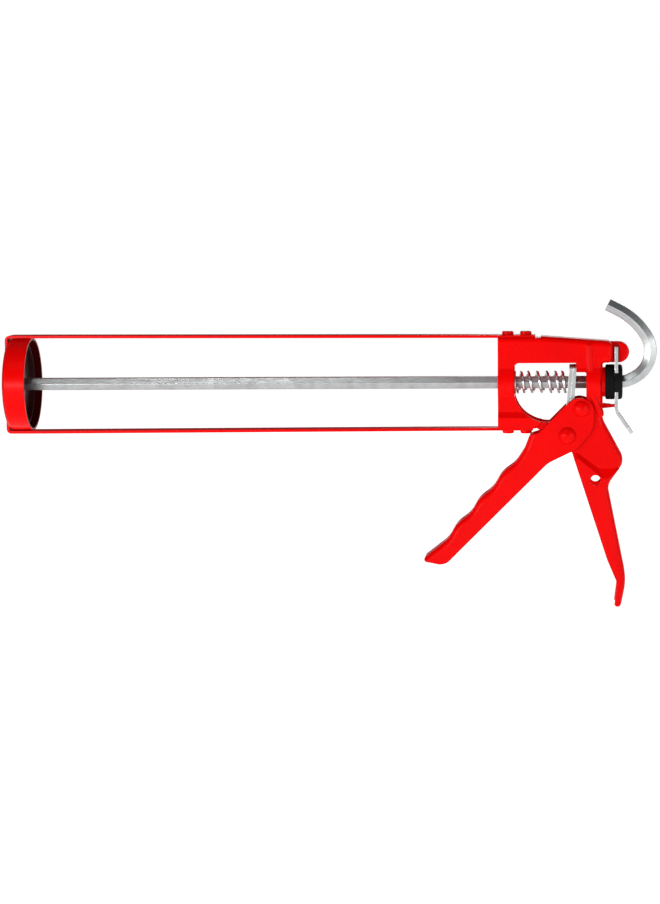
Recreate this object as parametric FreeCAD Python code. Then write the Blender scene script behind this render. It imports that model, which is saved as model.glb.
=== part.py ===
import FreeCAD, Part
import math
import os

from FreeCAD import Vector

# Skeleton caulking gun. Millimetres. +X runs from the nozzle end to the hook, +Z is up, and the
# origin is the centre of the nozzle opening at the strap's front face. The gun lies in the XZ
# plane and is symmetric about it.

# ---- driving dimensions: cradle -------------------------------------------------------------
cradle_length = 266.5          # strap's front face to the body's front edge
cup_diameter = 50.0
cup_depth = 12.5
cup_wall = 1.2
cup_edge_radius = 2.6
nozzle_diameter = 20.0
strap_width = 12.0
strap_thickness = 1.5
strap_bend_radius = 2.6
strap_eye_diameter = 32.0      # the strap widens to this round the nozzle opening
top_lap = 19.8                 # how far the strap lies along the body's top
bottom_lap = 18.6              # and along its bottom flange
strap_rivet_radius = 1.6
strap_rivet_head_radius = 3.1
strap_rivet_head_height = 1.9
strap_rivet_places = (5.2, 14.8)   # from the body's front edge

# ---- driving dimensions: sheet parts --------------------------------------------------------
sheet = 1.6
bend_radius = 3.0              # outside radius between a web and its side walls
body_half_height = 24.0        # rod's axis to the faces that the strap lies on
crest_rise = 0.9               # body's top stands this far above the strap's seat
seat_length = 23.0             # strap's seat, from the body's front edge
side_gap = 0.5                 # trigger's walls to the frame's walls
running_gap = 0.06             # radial clearance of turning fits

# ---- driving dimensions: plunger ------------------------------------------------------------
rod_flats = 6.5
rod_gap = 0.35                 # rod's flats to the holes of drive plates and lever
guide_gap = 0.12               # rod's flats to the fixed guides' holes
guide_thickness = 1.8
guide_inset = 0.4              # front guide's rear face, past the window's front edge
thread_radius = 2.5
thread_length = 5.6
hook_start = 63.0              # from the body's front edge
hook_arcs = ((20.0, 30.0), (15.8, 90.0), (36.0, 33.0))   # radius and turn of each bend
hook_tail = 6.2
disc_diameter = 45.0
disc_sheet = 1.2
disc_rim = 4.2
disc_washer_radius = 8.0
disc_washer_thickness = 1.2
nut_flats = 8.0
nut_thickness = 2.8
nut_setback = 3.4              # strap's front face to the nut

# ---- driving dimensions: drive --------------------------------------------------------------
spring_wire = 1.5
spring_gap = 1.0               # coil's inside to the rod's corners
spring_turns = 5.5
spring_room = 0.35             # spring to the body's walls
seat_washer = 0.6
window_front = 8.5             # all window places are from the body's front edge
window_shoulder = 41.7         # the drive plates rest against this edge
window_rear = 46.9
window_top = 10.6
window_step = 5.7
plate_thickness = 2.0
plate_tilt = 4.5               # degrees, lower end forward
plate_top = 9.4
pivot_place = (36.9, -3.9)     # from the body's front edge, and from the strap's lower seat
pin_arm = (7.6, 14.3)          # pivot to drive pin
pivot_radius = 2.5
pin_radius = 2.3
spacer_radius = 4.0
roller_gap = 0.45              # roller to the rear drive plate at rest
head_radius = 4.4
head_height = 2.3
trigger_travel = 28.0          # degrees

# ---- driving dimensions: trigger's blade ----------------------------------------------------
pin_lobe = 7.6                 # radius of the trigger's top round the drive pin
groove_pitch = 18.2
groove_depth = 2.1
groove_count = 4
groove_start = (-27.6, -14.8)  # first valley, from the pivot
groove_angle = 48.6            # degrees below the horizontal, towards the nozzle end

# ---- driving dimensions: rear end -----------------------------------------------------------
rear_wall = 55.6               # outer face, from the body's front edge
ear_radius = 5.6
ear_place = 64.0
neck_half = 2.0
knob_half = 4.2
lever_thickness = 1.7
lever_width = 15.6
lever_place = 61.95            # front face, from the body's front edge
lever_bend_height = -15.6
lever_bend_radius = 6.0
lever_tip = (8.2, -27.4)       # from the lever's mid-plane, and from the rod's axis
buffer_radius = 9.35
boss_depth = 4.1
collar_radius = 8.0            # raised ring of the rear wall, round the rod
collar_height = 1.4
hang_hole_radius = 2.7
hang_hole_place = (51.7, -27.7)    # from the body's front edge, and from the strap's lower seat

# ---- derived sizes --------------------------------------------------------------------------
body = cradle_length
foot = -body_half_height                          # height of the strap's lower seat
window_bottom = foot + 3.2
ear_height = body_half_height - 7.9
lever_top = ear_height + 2.9
cup_radius = cup_diameter / 2
rod_corner = rod_flats / math.sqrt(3)
spring_inner = rod_corner + spring_gap
spring_outer = spring_inner + spring_wire
frame_half = spring_outer + spring_room + sheet          # side wall's outer face, at the works
grip_half = frame_half + side_gap + sheet         # and at the grip and the bottom flange
trigger_inner = frame_half + side_gap
trigger_outer = trigger_inner + sheet
pivot_x = body + pivot_place[0]
pivot_z = foot + pivot_place[1]
pin_x = pivot_x + pin_arm[0]
pin_z = pivot_z + pin_arm[1]
plate_bottom = pin_z - 1.8
shoulder_x = body + window_shoulder
tilt = math.radians(plate_tilt)
seat_x = body + window_front + guide_inset        # rear face of the front guide
disc_x = nut_setback + nut_thickness
rod_start = disc_x + disc_sheet + disc_washer_thickness
lever_x = body + lever_place
hinge_x = lever_x + lever_thickness / 2


# ---- helpers --------------------------------------------------------------------------------
def point(x, z):
    """Point of the gun's middle plane."""
    return Vector(x, 0, z)


def rounded_edges(corners, closed=True):
    """Edges through corners (x, z, radius), each corner rounded by its own radius."""
    count = len(corners)
    turns = []
    for index, (x, z, radius) in enumerate(corners):
        here = point(x, z)
        if not closed and index in (0, count - 1):
            turns.append((here, here, here))
            continue
        back = (point(*corners[index - 1][:2]) - here).normalize()
        ahead = (point(*corners[(index + 1) % count][:2]) - here).normalize()
        half = back.getAngle(ahead) / 2
        run = radius / math.tan(half)
        middle = here + (back + ahead).normalize() * (radius / math.sin(half) - radius)
        turns.append((here + back * run, middle, here + ahead * run))
    edges = []
    for index, (start, middle, end) in enumerate(turns):
        if start.distanceToPoint(end) > 1e-6:
            edges.append(Part.Arc(start, middle, end).toShape())
        if closed or index < count - 1:
            following = turns[(index + 1) % count][0]
            if end.distanceToPoint(following) > 1e-6:
                edges.append(Part.LineSegment(end, following).toShape())
    return edges


def prism(corners, low, high):
    """Solid of a side outline from Y = low to Y = high."""
    face = Part.Face(Part.Wire(rounded_edges(corners)))
    face.translate(Vector(0, low, 0))
    return face.extrude(Vector(0, high - low, 0))


def block(x0, x1, y_half, z0, z1):
    """Box that is symmetric about the middle plane."""
    return Part.makeBox(x1 - x0, 2 * y_half, z1 - z0, Vector(x0, -y_half, z0))


def along_x(radius, x0, x1):
    """Cylinder on the rod's axis."""
    return Part.makeCylinder(radius, x1 - x0, Vector(x0, 0, 0), Vector(1, 0, 0))


def along_y(radius, half, x, z):
    """Cylinder across the gun, symmetric about the middle plane."""
    return Part.makeCylinder(radius, 2 * half, Vector(x, -half, z), Vector(0, 1, 0))


def along_z(radius, x, z0, z1):
    """Upright cylinder in the middle plane."""
    return Part.makeCylinder(radius, z1 - z0, Vector(x, 0, z0), Vector(0, 0, 1))


def hexagon(flats, x):
    """Hexagonal wire about the rod's axis, its flats at the top and bottom."""
    corner = flats / math.sqrt(3)
    points = []
    for step in range(7):
        angle = math.radians(60 * step)
        points.append(Vector(x, corner * math.cos(angle), corner * math.sin(angle)))
    return Part.makePolygon(points)


def hex_bar(flats, x0, x1):
    """Hexagonal prism on the rod's axis."""
    return Part.Face(hexagon(flats, x0)).extrude(Vector(x1 - x0, 0, 0))


def both_sides(shape):
    """The shape and its mirror image across the middle plane."""
    return shape.fuse(shape.mirror(Vector(0, 0, 0), Vector(0, 1, 0)))


def dome(radius, height, centre, direction):
    """Low domed head that stands on a face at centre and rises along direction."""
    ball = (radius ** 2 + height ** 2) / (2 * height)
    arc = Part.Arc(Vector(radius, 0, 0),
                   Vector(ball * math.sin(math.asin(radius / ball) / 2), 0,
                          ball * math.cos(math.asin(radius / ball) / 2) - ball + height),
                   Vector(0, 0, height)).toShape()
    sides = [arc, Part.LineSegment(Vector(0, 0, height), Vector(0, 0, 0)).toShape(),
             Part.LineSegment(Vector(0, 0, 0), Vector(radius, 0, 0)).toShape()]
    head = Part.Face(Part.Wire(sides)).revolve(Vector(0, 0, 0), Vector(0, 0, 1), 360)
    turn = FreeCAD.Rotation(Vector(0, 0, 1), direction)
    head.Placement = FreeCAD.Placement(centre, turn)
    return head


def inset(corners, insets):
    """Move side k (corner k to corner k + 1) of a clockwise outline inwards by insets[k]."""
    count = len(corners)
    lines = []
    for index in range(count):
        start = point(*corners[index][:2])
        end = point(*corners[(index + 1) % count][:2])
        way = (end - start).normalize()
        inward = Vector(way.z, 0, -way.x)
        lines.append((start + inward * insets[index], way))
    moved = []
    for index in range(count):
        (base, way), (next_base, next_way) = lines[index - 1], lines[index]
        gap = next_base - base
        turn = way.x * next_way.z - way.z * next_way.x
        run = (gap.x * next_way.z - gap.z * next_way.x) / turn
        crossing = base + way * run
        radius = corners[index][2]
        if insets[index - 1] > 0 and insets[index] > 0:
            radius = radius - sheet if turn < 0 else radius + sheet
        else:
            radius = 0
        moved.append((crossing.x, crossing.z, radius))
    return moved


def bent_slab(corners, web_end, half, bend):
    """Solid of a clockwise outline whose sides 0 to web_end - 1 are a web with rounded bends."""
    sharp = list(corners)
    for index in (0, web_end):
        sharp[index] = (corners[index][0], corners[index][1], 0)
    slab = prism(sharp, -half, half)
    web = Part.Wire(rounded_edges(sharp[:web_end + 1], closed=False))
    bends = []
    for edge in slab.Edges:
        middle = edge.valueAt((edge.FirstParameter + edge.LastParameter) / 2)
        if abs(abs(middle.y) - half) < 1e-6:
            if web.distToShape(Part.Vertex(middle.x, 0, middle.z))[0] < 1e-4:
                bends.append(edge)
    slab = slab.makeFillet(bend, bends)
    return slab.common(prism(corners, -half, half))


def two_level(low_corners, high_corners, low, high):
    """Zone cutter: low_corners up to |Y| = low, then sloping to high_corners at |Y| = high."""
    wires = []
    for corners, y in ((high_corners, -high), (low_corners, -low),
                       (low_corners, low), (high_corners, high)):
        points = [Vector(x, y, z) for x, z in corners]
        wires.append(Part.makePolygon(points + points[:1]))
    return Part.makeLoft(wires, True, True)


# ---- cradle ---------------------------------------------------------------------------------
def strap_outline(inside):
    """Side outline of the strap's outer face, or of its inner face."""
    skin = strap_thickness if inside else 0
    front_z = cup_radius + 0.1 + strap_thickness - skin
    rear_z = body_half_height + strap_thickness - skin
    level = strap_thickness + cup_depth + 4
    end = body + top_lap + (5 if inside else 0)
    bend = strap_bend_radius - skin
    return [(skin, front_z, bend), (level, front_z, 40), (body, rear_z, 40), (end, rear_z, 0),
            (end, -rear_z, 0), (body, -rear_z, 40), (level, -front_z, 40), (skin, -front_z, bend)]


def make_cradle_strap():
    """Steel band: top run, front bend round the cup with the nozzle eye, bottom run."""
    half = strap_width / 2
    band = prism(strap_outline(False), -half, half).cut(prism(strap_outline(True), -half, half))
    band = band.fuse(along_x(strap_eye_diameter / 2, 0, strap_thickness))
    band = band.cut(along_x(nozzle_diameter / 2, -1, strap_thickness + 1))
    spare = block(body + bottom_lap, body + top_lap + 1, half, -2 * body_half_height, 0)
    band = band.cut(spare)
    for place in strap_rivet_places:
        band = band.cut(along_z(strap_rivet_radius, body + place, -2 * body_half_height,
                                2 * body_half_height))
    return band.removeSplitter()


def make_front_cup():
    """Round pressed cup, open to the rear, with the nozzle opening in its front."""
    front = strap_thickness
    cup = along_x(cup_radius, front, front + cup_depth)
    cup = cup.makeFillet(cup_edge_radius, [edge for edge in cup.Edges
                                           if abs(edge.CenterOfMass.x - front) < 1e-3])
    hollow = along_x(cup_radius - cup_wall, front + cup_wall, front + cup_depth + 1)
    inner_radius = cup_edge_radius - cup_wall
    hollow = hollow.makeFillet(inner_radius, [edge for edge in hollow.Edges
                                              if abs(edge.CenterOfMass.x - front - cup_wall) < 1e-3])
    cup = cup.cut(hollow)
    return cup.cut(along_x(nozzle_diameter / 2, 0, front + cup_depth))


def make_strap_rivets(up):
    """Two rivets through the strap and the body, heads outside; up is 1 or -1."""
    outer = body_half_height + strap_thickness
    inner = body_half_height - sheet
    solids = []
    for place in strap_rivet_places:
        x = body + place
        shank = along_z(strap_rivet_radius, x, inner - 0.2, outer + 0.2)
        head = along_z(strap_rivet_head_radius, x, outer, outer + strap_rivet_head_height)
        rim = [edge for edge in head.Edges
               if abs(edge.CenterOfMass.z - outer - strap_rivet_head_height) < 1e-3]
        head = head.makeFillet(0.8, rim)
        tail = along_z(strap_rivet_head_radius - 0.6, x, inner - 1.0, inner)
        rivet = shank.fuse([head, tail]).removeSplitter()
        if up < 0:
            rivet = rivet.mirror(Vector(0, 0, 0), Vector(0, 0, 1))
        solids.append(rivet)
    return Part.makeCompound(solids)


# ---- frame ----------------------------------------------------------------------------------
def frame_corners():
    """Side outline of body and grip, clockwise from the body's top front corner."""
    crest = body_half_height + crest_rise
    ear_low = ear_height - ear_radius
    rear = body + rear_wall
    overhang = rear + 5.6
    return [
        (body, crest, 0),
        (body + seat_length, crest, 30),
        (overhang, ear_height + ear_radius + 0.3, 4.0),
        (overhang, ear_low, 3.2),
        (rear, ear_low, 1.0),
        (rear, foot + 4.0, 8.0),
        (rear + 11.7, foot - 17.8, 7.0),
        (rear + 2.4, foot - 30.5, 8.0),
        (rear + 12.4, foot - 81.0, 30.0),
        (rear + 9.3, foot - 96.2, 1.8),
        (rear + 6.0, foot - 95.0, 1.4),
        (rear + 7.6, foot - 83.0, 3.0),
        (rear + 2.3, foot - 70.5, 25.0),
        (body + 39.2, foot - 12.9, 0.8),
        (body + 20.7, foot, 0),
        (body, foot, 0),
    ]


def frame_level(half, bend, hollow):
    """One level of the frame: its outside, or the hollow between its walls."""
    corners = frame_corners()
    web_end = 9
    if hollow:
        open_sides = -4.0
        insets = [sheet + crest_rise] + [sheet] * (web_end - 1) + [open_sides] * 5
        insets += [sheet, open_sides]
        corners = inset(corners, insets)
        return bent_slab(corners, web_end, half - sheet, bend - sheet)
    return bent_slab(corners, web_end, half, bend)


def grip_zone(skin):
    """The part of the side walls that stands out at the grip, below the slanted step."""
    rear = body + 90
    front = body + 34
    end = foot - 106
    low = [(front, foot - 17.1), (body + 42.0, foot - 13.2), (body + 53.4, foot - 21.8),
           (rear, foot - 21.8), (rear, end), (front, end)]
    high = [(front, foot - 20.3), (body + 42.5, foot - 16.0), (body + 56.0, foot - 27),
            (rear, foot - 27), (rear, end), (front, end)]
    return two_level(low, high, frame_half - skin, grip_half - skin + 0.01)


def flange_zone(skin):
    """The part of the side walls that stands out above the bottom flange."""
    front = body - 9
    end = foot - 2
    low = [(front, foot + 8.4), (body + 24.0, foot + 8.4), (body + 24.0, foot + 3.4),
           (body + 18.6, end), (front, end)]
    high = [(front, foot + 5.6), (body + 23.0, foot + 5.6), (body + 23.0, foot + 3.0),
            (body + 18.0, end), (front, end)]
    return two_level(low, high, frame_half - skin, grip_half - skin + 0.01)


def rod_bulge(skin):
    """Long shallow bulges of both side walls round the rod."""
    depth = 1.9
    half_height = 7.6
    radius = (half_height ** 2 + depth ** 2) / (2 * depth)
    centre = frame_half + depth - radius
    start = body - (1 if skin else 0)
    end = body + rear_wall - (2.4 if skin else 1.2)
    roll = Part.makeCylinder(radius - skin, end - start, Vector(start, centre, 0), Vector(1, 0, 0))
    keep = Part.makeBox(end - start + 2, depth + sheet, 4 * half_height,
                        Vector(start - 1, frame_half - sheet / 2 - skin, -2 * half_height))
    return both_sides(roll.common(keep))


def crease_bead():
    """Raised line of each side wall, from below the body's top to the rear column's foot."""
    path = rounded_edges([(body + 48.2, body_half_height - 4.6, 0), (body + 49.6, -5.0, 6),
                          (body + 54.2, foot + 7.4, 0)], closed=False)
    radius = 2.0
    level = frame_half + 0.8 - radius
    wire = Part.Wire(path)
    wire.translate(Vector(0, level, 0))
    start = wire.OrderedVertexes[0].Point
    aim = (wire.OrderedVertexes[1].Point - start)
    ring = Part.Wire(Part.makeCircle(radius, start, aim))
    rib = wire.makePipeShell([ring], True, False)
    ends = [Part.makeSphere(radius, wire.OrderedVertexes[0].Point),
            Part.makeSphere(radius, wire.OrderedVertexes[-1].Point)]
    return both_sides(rib.fuse(ends))


def window_corners():
    """The window through both side walls, where spring and drive plates show."""
    return [(body + window_front, window_top, 3), (shoulder_x, window_top, 0.8),
            (shoulder_x, window_step, 0.5), (body + window_rear, window_step, 1),
            (body + window_rear, window_bottom, 12), (body + window_front, window_bottom, 18)]


def pin_slot():
    """Curved slot through both side walls for the drive pin's swing."""
    half = pin_radius + 0.8
    reach = math.hypot(*pin_arm)
    ring = along_y(reach + half, grip_half + 1, pivot_x, pivot_z)
    ring = ring.cut(along_y(reach - half, grip_half + 2, pivot_x, pivot_z))
    rest = math.degrees(math.atan2(pin_arm[1], pin_arm[0]))
    ends = []
    wedge = [(pivot_x, pivot_z, 0)]
    for angle in (rest + trigger_travel, rest + trigger_travel / 2, rest):
        turn = math.radians(angle)
        ends.append(along_y(half, grip_half + 1, pivot_x + reach * math.cos(turn),
                            pivot_z + reach * math.sin(turn)))
        wedge.append((pivot_x + 3 * reach * math.cos(turn), pivot_z + 3 * reach * math.sin(turn), 0))
    sector = ring.common(prism(wedge, -grip_half - 2, grip_half + 2))
    return sector.fuse(ends)


def ear():
    """Lug behind the body's top: a thin neck for the lever's fork and a round knob."""
    centre_x = body + ear_place
    neck = block(body + rear_wall + 2, centre_x + 1, neck_half, ear_height - ear_radius,
                 ear_height + ear_radius)
    knob = along_y(ear_radius, knob_half, centre_x, ear_height)
    knob = knob.makeFillet(1.6, [edge for edge in knob.Edges if len(edge.Vertexes) == 1])
    behind = lever_x + lever_thickness + 0.45
    knob = knob.common(block(behind, behind + 20, knob_half + 1, 0, 40))
    end = along_y(ear_radius, neck_half, centre_x, ear_height)
    return neck.fuse([knob, end.common(block(centre_x, centre_x + 20, 10, 0, 40))])


def stop_tab():
    """Tapered tab of the rear wall that reaches through the release lever's slot."""
    start = body + rear_wall - sheet / 2
    return prism([(start, -11.1, 0), (lever_x + 0.1, -12.0, 0.4), (lever_x + 0.1, -13.4, 0.4),
                  (start, -14.1, 0)], -1.5, 1.5)


def make_pistol_frame():
    """Pressed frame: body with top and rear web, bottom flange, window, ear and grip."""
    outside = frame_level(frame_half, bend_radius, False)
    wide = frame_level(grip_half, bend_radius, False)
    outside = outside.fuse([wide.common(grip_zone(0)), wide.common(flange_zone(0)), rod_bulge(0),
                            crease_bead()])
    hollow = frame_level(frame_half, bend_radius, True)
    wide_hollow = frame_level(grip_half, bend_radius, True)
    hollow = hollow.fuse([wide_hollow.common(grip_zone(sheet)),
                          wide_hollow.common(flange_zone(sheet)), rod_bulge(sheet)])
    frame = outside.cut(hollow)
    frame = frame.cut(prism(window_corners(), -grip_half - 3, grip_half + 3))
    frame = frame.cut(pin_slot())
    frame = frame.cut(block(body - 1, body + seat_length, grip_half, body_half_height,
                            body_half_height + 5))
    frame = frame.fuse([ear(), stop_tab()])
    frame = frame.fuse(along_x(collar_radius, body + rear_wall - sheet / 2,
                               body + rear_wall + collar_height))
    frame = frame.cut(along_x(rod_corner + 1.0, body + rear_wall - 3 * sheet, body + rear_wall + 3))
    frame = frame.cut(along_y(pivot_radius, grip_half, pivot_x, pivot_z))
    frame = frame.cut(along_y(hang_hole_radius, grip_half + 1, body + hang_hole_place[0],
                              foot + hang_hole_place[1]))
    for place in strap_rivet_places:
        frame = frame.cut(along_z(strap_rivet_radius, body + place, 2 * foot, -2 * foot))
    return frame.removeSplitter()


def rod_guide(x, low, high):
    """Plate between the frame's walls with the rod's hexagonal hole."""
    half = frame_half - sheet
    plate = block(x, x + guide_thickness, half, low, high)
    return plate.cut(hex_bar(rod_flats + 2 * guide_gap, x - 1, x + guide_thickness + 1))


def make_front_rod_guide():
    """Guide at the window's front edge; the spring's washer seats on it."""
    return rod_guide(seat_x - guide_thickness, foot + 10.0, body_half_height - 4.0)


def make_rear_rod_guide():
    """Guide in the rear column, just inside the rear wall."""
    return rod_guide(body + rear_wall - bend_radius - 0.1 - guide_thickness, -16.0, 9.4)


def make_pivot_spacer():
    """Bush on the pivot rivet that holds the frame's walls apart."""
    half = frame_half - sheet
    return along_y(spacer_radius, half, pivot_x, pivot_z).cut(
        along_y(pivot_radius, half + 1, pivot_x, pivot_z))


def domed_pin(radius, seat, x, z):
    """Pin across the gun with a domed head on each end, at |Y| = seat."""
    pin = along_y(radius, seat + 0.2, x, z)
    heads = [dome(head_radius, head_height, Vector(x, seat, z), Vector(0, 1, 0)),
             dome(head_radius, head_height, Vector(x, -seat, z), Vector(0, -1, 0))]
    return pin.fuse(heads).removeSplitter()


# ---- trigger --------------------------------------------------------------------------------
def trigger_corners():
    """Side outline of the trigger, clockwise from the blade's tip, up its finger side."""
    angle = math.radians(groove_angle)
    down = Vector(-math.cos(angle), 0, -math.sin(angle))
    out = Vector(-math.sin(angle), 0, math.cos(angle))
    first = point(pivot_x + groove_start[0], pivot_z + groove_start[1])
    last = first + down * (groove_pitch * (groove_count - 1))
    corners = [(last.x - 14.8, last.z - 11.5, 1.4)]
    for index in range(groove_count - 1, -1, -1):
        valley = first + down * (groove_pitch * index)
        corners.append((valley.x, valley.z, 16))
        if index > 0:
            peak = first + down * (groove_pitch * (index - 0.5)) + out * groove_depth
            corners.append((peak.x, peak.z, 16))
    corners += [
        (pivot_x - 22.9, pivot_z - 7.4, 12),
        (pivot_x - 20.1, pivot_z - 0.1, 3.4),
        (pivot_x - 15.2, pivot_z + 1.4, 2),
        (pin_x - 1.0 + pin_lobe, pin_z - 1.8 + pin_lobe * (1 + math.sqrt(2)), pin_lobe),
        (pivot_x + 14.0, pivot_z + 3.4, 12),
        (pivot_x + 5.0, pivot_z - 7.2, 7),
        (pivot_x - 10.4, pivot_z - 14.7, 14),
        (last.x - 2.0, last.z - 14.0, 7),
    ]
    return corners


def make_trigger():
    """Pressed channel that straddles the frame, its web on the finger side."""
    corners = trigger_corners()
    web_end = 2 * groove_count + 1
    outside = bent_slab(corners, web_end, trigger_outer, bend_radius - 0.2)
    open_side = -4.0
    insets = [sheet] * web_end + [open_side] * (len(corners) - web_end - 1) + [sheet]
    hollow = bent_slab(inset(corners, insets), web_end, trigger_inner, bend_radius - 0.2 - sheet)
    trigger = outside.cut(hollow)
    trigger = trigger.cut(along_y(pivot_radius + running_gap, trigger_outer + 1, pivot_x, pivot_z))
    return trigger.cut(along_y(pin_radius, trigger_outer + 1, pin_x, pin_z))


def plate_face(x_offset, z):
    """X of the drive plates' rear face at height z, moved by x_offset along the plates' normal."""
    return shoulder_x - (window_step - z) * math.tan(tilt) + x_offset / math.cos(tilt)


def roller_radius():
    """Roller size that leaves roller_gap to the rear drive plate at rest."""
    reach = (pin_x - plate_face(0, pin_z)) * math.cos(tilt)
    return reach - roller_gap


def make_drive_roller():
    """Roller on the drive pin, between the frame's walls."""
    half = frame_half - sheet - 0.4
    return along_y(roller_radius(), half, pin_x, pin_z).cut(
        along_y(pin_radius + running_gap, half + 1, pin_x, pin_z))


# ---- drive plates and spring ----------------------------------------------------------------
def drive_plate(index):
    """Tilted plate with a hexagonal hole; index 0 is the rear plate, 1 the front plate."""
    half = frame_half - sheet - 0.5
    rear = -index * plate_thickness
    front = rear - plate_thickness
    corners = [(plate_face(front, plate_top), plate_top, 0), (plate_face(rear, plate_top), plate_top, 0),
               (plate_face(rear, plate_bottom), plate_bottom, 0.3),
               (plate_face(front, plate_bottom), plate_bottom, 0.3)]
    plate = prism(corners, -half, half)
    upright = [edge for edge in plate.Edges if abs(edge.CenterOfMass.z - plate_top) < 0.5
               and abs(edge.CenterOfMass.y) > half - 0.5]
    plate = plate.makeFillet(1.8, upright)
    return plate.cut(hex_bar(rod_flats + 2 * rod_gap, shoulder_x - 30, shoulder_x + 10))


def spring_ends():
    """X of the spring's front and rear end."""
    rear = plate_face(-2 * plate_thickness, -spring_outer) - 0.15
    return seat_x + seat_washer, rear


def make_spring_seat_washer():
    """Thin washer between the front guide and the spring."""
    outer = along_x(spring_outer, seat_x, seat_x + seat_washer)
    return outer.cut(along_x(rod_corner + 0.4, seat_x - 1, seat_x + 2))


def make_main_spring():
    """Compression spring round the rod, pressing the drive plates to the rear."""
    front, rear = spring_ends()
    radius = spring_outer - spring_wire / 2
    height = rear - front - spring_wire
    helix = Part.makeHelix(height / spring_turns, height, radius)
    start = helix.Edges[0].valueAt(helix.Edges[0].FirstParameter)
    aim = helix.Edges[0].tangentAt(helix.Edges[0].FirstParameter)
    ring = Part.Wire(Part.makeCircle(spring_wire / 2, start, aim))
    coil = Part.Wire(helix.Edges).makePipeShell([ring], True, True)
    coil.Placement = FreeCAD.Placement(Vector(front + spring_wire / 2, 0, 0),
                                       FreeCAD.Rotation(Vector(0, 1, 0), 90))
    return coil


# ---- plunger --------------------------------------------------------------------------------
def hook_path():
    """Centre line of the hook, from the rod's straight run to its end."""
    edges = []
    here = point(body + hook_start, 0)
    heading = 0.0
    for radius, turn in hook_arcs:
        centre = here + point(-math.sin(heading), math.cos(heading)) * radius
        stops = []
        for share in (0.5, 1.0):
            angle = heading + math.radians(turn) * share
            stops.append(centre + point(math.sin(angle), -math.cos(angle)) * radius)
        edges.append(Part.Arc(here, stops[0], stops[1]).toShape())
        here = stops[1]
        heading += math.radians(turn)
    tail = here + point(math.cos(heading), math.sin(heading)) * hook_tail
    edges.append(Part.LineSegment(here, tail).toShape())
    return Part.Wire(edges)


def make_plunger_rod():
    """Straight run of the hexagonal rod, with its threaded front end."""
    bar = hex_bar(rod_flats, rod_start, body + hook_start)
    thread = along_x(thread_radius, rod_start - thread_length, rod_start)
    tip = [edge for edge in thread.Edges if abs(edge.CenterOfMass.x - rod_start + thread_length) < 1e-3]
    thread = thread.makeChamfer(0.4, tip)
    return bar.fuse(thread)


def make_rod_hook():
    """Bent rear end of the same bar, which carries on from the straight run."""
    return hook_path().makePipeShell([hexagon(rod_flats, body + hook_start)], True, False)


def make_plunger_disc():
    """Dished disc that pushes the cartridge's piston, its rim turned to the rear."""
    outer = disc_diameter / 2
    edge = 1.6
    disc = along_x(outer, disc_x, disc_x + disc_rim)
    disc = disc.makeFillet(edge, [item for item in disc.Edges
                                  if abs(item.CenterOfMass.x - disc_x) < 1e-3])
    hollow = along_x(outer - disc_sheet, disc_x + disc_sheet, disc_x + disc_rim + 1)
    return disc.cut([hollow, along_x(thread_radius, disc_x - 1, disc_x + disc_rim)])


def make_disc_washer():
    """Washer between the disc and the rod's shoulder."""
    start = disc_x + disc_sheet
    washer = along_x(disc_washer_radius, start, rod_start)
    return washer.cut(along_x(thread_radius, start - 1, rod_start + 1))


def make_disc_nut():
    """Nut on the rod's threaded end."""
    nut = hex_bar(nut_flats, nut_setback, disc_x)
    return nut.cut(along_x(thread_radius, nut_setback - 1, disc_x + 1))


# ---- release lever --------------------------------------------------------------------------
def make_release_lever():
    """Bent plate: fork round the ear's neck, rod hole, slot for the tab, thumb end."""
    middle = lever_x + lever_thickness / 2
    half = lever_thickness / 2
    bend = (middle, lever_bend_height, lever_bend_radius)
    tip = (middle + lever_tip[0], lever_tip[1], 0)
    path = Part.Wire(rounded_edges([(middle, lever_top, 0), bend, tip], closed=False))
    width = lever_width / 2
    section = Part.makePolygon([Vector(middle - half, -width, lever_top),
                                Vector(middle + half, -width, lever_top),
                                Vector(middle + half, width, lever_top),
                                Vector(middle - half, width, lever_top),
                                Vector(middle - half, -width, lever_top)])
    plate = path.makePipeShell([section], True, False)
    tip_edges = [edge for edge in plate.Edges if edge.CenterOfMass.z < lever_tip[1] + 1.2
                 and abs(abs(edge.CenterOfMass.y) - width) < 1e-3 and edge.Length < 2.5]
    plate = plate.makeFillet(4.0, tip_edges)
    neck = neck_half + 0.35
    plate = plate.cut(block(lever_x - 1, lever_x + 3, neck, ear_height - ear_radius - 0.9, 40))
    plate = plate.cut(block(lever_x - 1, lever_x + 3, 2.0, -14.9, -10.3))
    return plate.cut(hex_bar(rod_flats + 2 * rod_gap, lever_x - 1, lever_x + 4))


def make_lever_boss():
    """Black boss moulded round the lever; its front is flush with the lever's front face."""
    boss = along_x(buffer_radius, lever_x, lever_x + boss_depth)
    rim = [edge for edge in boss.Edges if abs(edge.CenterOfMass.x - lever_x - boss_depth) < 1e-3]
    boss = boss.makeFillet(1.5, rim)
    seat = block(lever_x - 1, lever_x + lever_thickness, lever_width / 2, -20, 20)
    return boss.cut([seat, along_x(rod_corner + 1.05, lever_x - 1, lever_x + boss_depth + 1)])


def make_buffer_pad():
    """Rubber pad between the rear wall's collar and the lever."""
    start = body + rear_wall + collar_height
    end = lever_x - 0.15
    pad = along_x(buffer_radius, start, end)
    rim = [edge for edge in pad.Edges if abs(edge.CenterOfMass.x - start) < 1e-3]
    pad = pad.makeChamfer(1.0, rim)
    bore = along_x(rod_corner + 0.85, start - 1, end + 1)
    return pad.cut(bore)


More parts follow.
